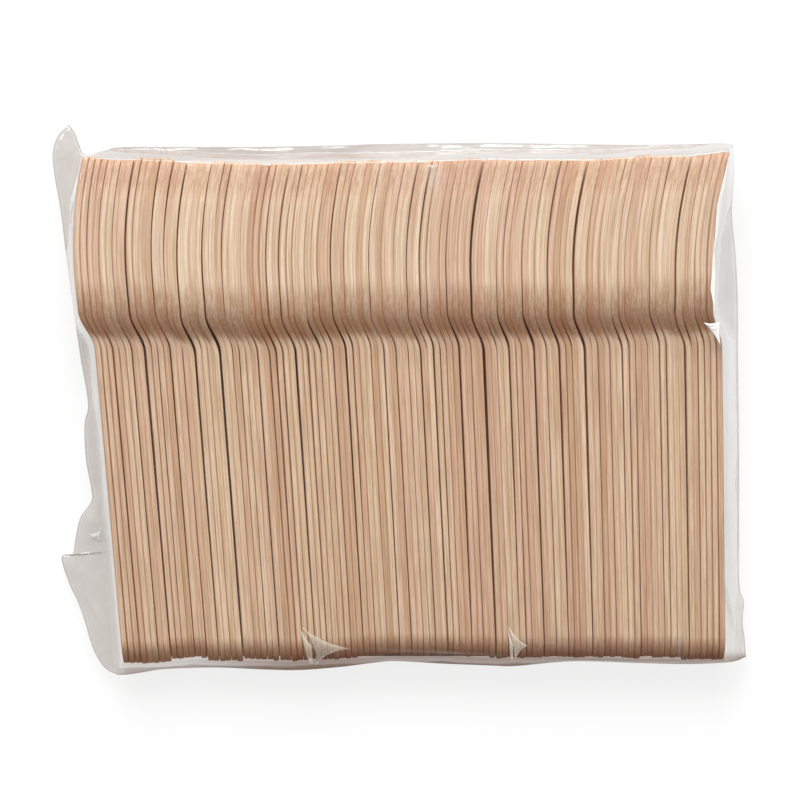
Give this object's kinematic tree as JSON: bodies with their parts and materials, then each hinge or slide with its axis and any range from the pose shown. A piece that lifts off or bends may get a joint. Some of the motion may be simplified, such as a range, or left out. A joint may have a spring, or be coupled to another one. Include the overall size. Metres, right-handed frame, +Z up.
{
  "type": "bagged stack of wooden forks",
  "caption": "Clear film bag holding a nested stack of disposable birch forks, lying on its side with loose film corners.",
  "frame": {"origin": "on the surface the pack lies on, under the middle of its box", "axes": "+X along the stack from the first fork to the last, +Y along the forks from the handles' ends to the tips, +Z up"},
  "size_m": [0.2196, 0.1744, 0.0279],
  "materials": {
    "birch": "raw sanded birch veneer, matte",
    "film": "clear thin polypropylene film, glossy"
  },
  "bodies": {
    "root": {"fork_pair_01": "birch", "fork_pair_02": "birch", "fork_pair_03": "birch", "fork_pair_04": "birch", "fork_pair_05": "birch", "fork_pair_06": "birch", "fork_pair_07": "birch", "fork_pair_08": "birch", "fork_pair_09": "birch", "fork_pair_10": "birch", "fork_pair_11": "birch", "fork_pair_12": "birch", "fork_pair_13": "birch", "fork_pair_14": "birch", "fork_pair_15": "birch", "fork_pair_16": "birch", "fork_pair_17": "birch", "fork_pair_18": "birch", "fork_pair_19": "birch", "fork_pair_20": "birch", "fork_pair_21": "birch", "fork_pair_22": "birch", "fork_pair_23": "birch", "fork_pair_24": "birch", "fork_pair_25": "birch", "fork_pair_26": "birch", "fork_pair_27": "birch", "fork_pair_28": "birch", "fork_pair_29": "birch", "fork_pair_30": "birch", "fork_pair_31": "birch", "fork_pair_32": "birch", "fork_pair_33": "birch", "fork_pair_34": "birch", "fork_pair_35": "birch", "fork_pair_36": "birch", "fork_pair_37": "birch", "fork_pair_38": "birch", "fork_pair_39": "birch", "fork_pair_40": "birch", "fork_pair_41": "birch", "fork_pair_42": "birch", "fork_pair_43": "birch", "fork_pair_44": "birch", "fork_pair_45": "birch", "fork_pair_46": "birch", "fork_pair_47": "birch", "fork_pair_48": "birch", "fork_pair_49": "birch", "fork_pair_50": "birch", "film_bag": "film"}
  },
  "joints": []
}
